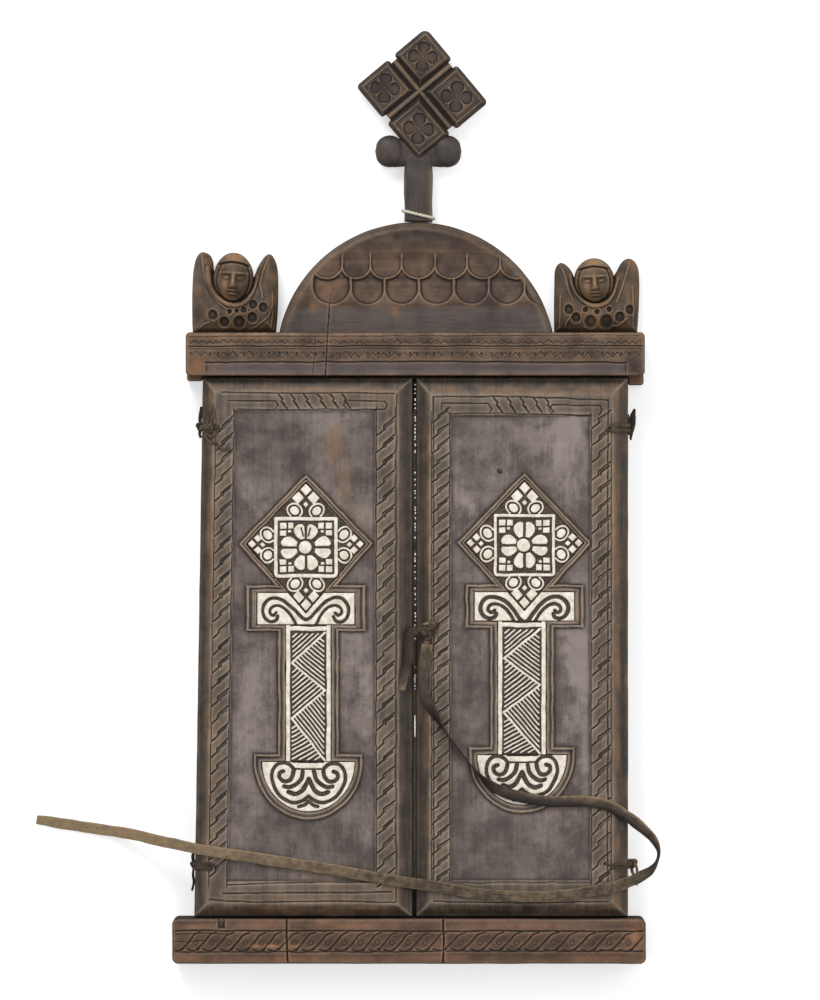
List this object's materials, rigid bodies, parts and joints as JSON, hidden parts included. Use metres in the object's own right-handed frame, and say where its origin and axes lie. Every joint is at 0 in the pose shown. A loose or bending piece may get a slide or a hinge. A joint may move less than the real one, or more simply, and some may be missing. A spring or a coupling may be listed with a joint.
{
  "type": "home altar",
  "caption": "Closed carved wooden home altar with two hinged doors, an arched crest with cherub heads, a finial cross and a leather tie strap, lying on its back.",
  "frame": {"origin": "centre of the outline on the surface under the altar's back, without the strap", "axes": "+X to the viewer's right, +Y up the altar from the plinth to the finial cross, +Z out of the carved front"},
  "size_m": [0.4008, 0.5994, 0.0458],
  "materials": {
    "dark_wood": "old dark carved wood, worn to brown on its edges",
    "red_wood": "old reddish brown carved wood with splits",
    "door_wood": "purplish brown painted wood, rubbed on its edges",
    "inlay": "bone white raised relief with dark cut ground",
    "gesso": "cream gesso, bare",
    "peg_wood": "bare light wood",
    "lace_leather": "dry rawhide lace",
    "strap_leather": "grey brown worn leather",
    "thread": "twisted off-white thread",
    "iron": "dark rusty iron"
  },
  "bodies": {
    "case": {"back_panel": "dark_wood", "icon_gesso": "gesso", "plinth": "red_wood", "crest_board": "dark_wood", "left_cherub": "dark_wood", "right_cherub": "dark_wood", "finial_cross": "dark_wood", "finial_string": "thread", "plinth_dowel_left": "peg_wood", "plinth_dowel_right": "peg_wood", "cornice_dowel_left": "peg_wood", "cornice_dowel_right": "peg_wood", "left_cherub_peg": "peg_wood", "right_cherub_peg": "peg_wood", "left_upper_thong_case": "lace_leather", "left_lower_thong_case": "lace_leather", "right_upper_thong_case": "lace_leather", "right_lower_thong_case": "lace_leather"},
    "left_door": {"left_door": "door_wood", "left_cross_head": "inlay", "left_cross_capital": "inlay", "left_cross_shaft": "inlay", "left_cross_foot": "inlay", "left_upper_thong_door": "lace_leather", "left_lower_thong_door": "lace_leather"},
    "right_door": {"right_door": "door_wood", "right_cross_head": "inlay", "right_cross_capital": "inlay", "right_cross_shaft": "inlay", "right_cross_foot": "inlay", "right_upper_thong_door": "lace_leather", "right_lower_thong_door": "lace_leather", "door_nail": "iron", "tie_knot": "strap_leather", "tie_strap": "strap_leather", "tie_strap_loop": "strap_leather", "tie_strap_return": "strap_leather", "tie_strap_tail": "strap_leather", "tie_short_end": "strap_leather"}
  },
  "joints": [
    {"name": "left_door_hinge", "type": "hinge", "parent": "case", "child": "left_door", "pos_m": [-0.13905, -0.27058, 0.02515], "axis": [-0.0156, -0.9999, 0], "range_deg": [0, 180], "deforming": ["tie_strap_tail", "tie_short_end"]},
    {"name": "right_door_hinge", "type": "hinge", "parent": "case", "child": "right_door", "pos_m": [0.14185, -0.27058, 0.02515], "axis": [0, 1, 0], "range_deg": [0, 180], "deforming": ["tie_strap_loop"]}
  ]
}
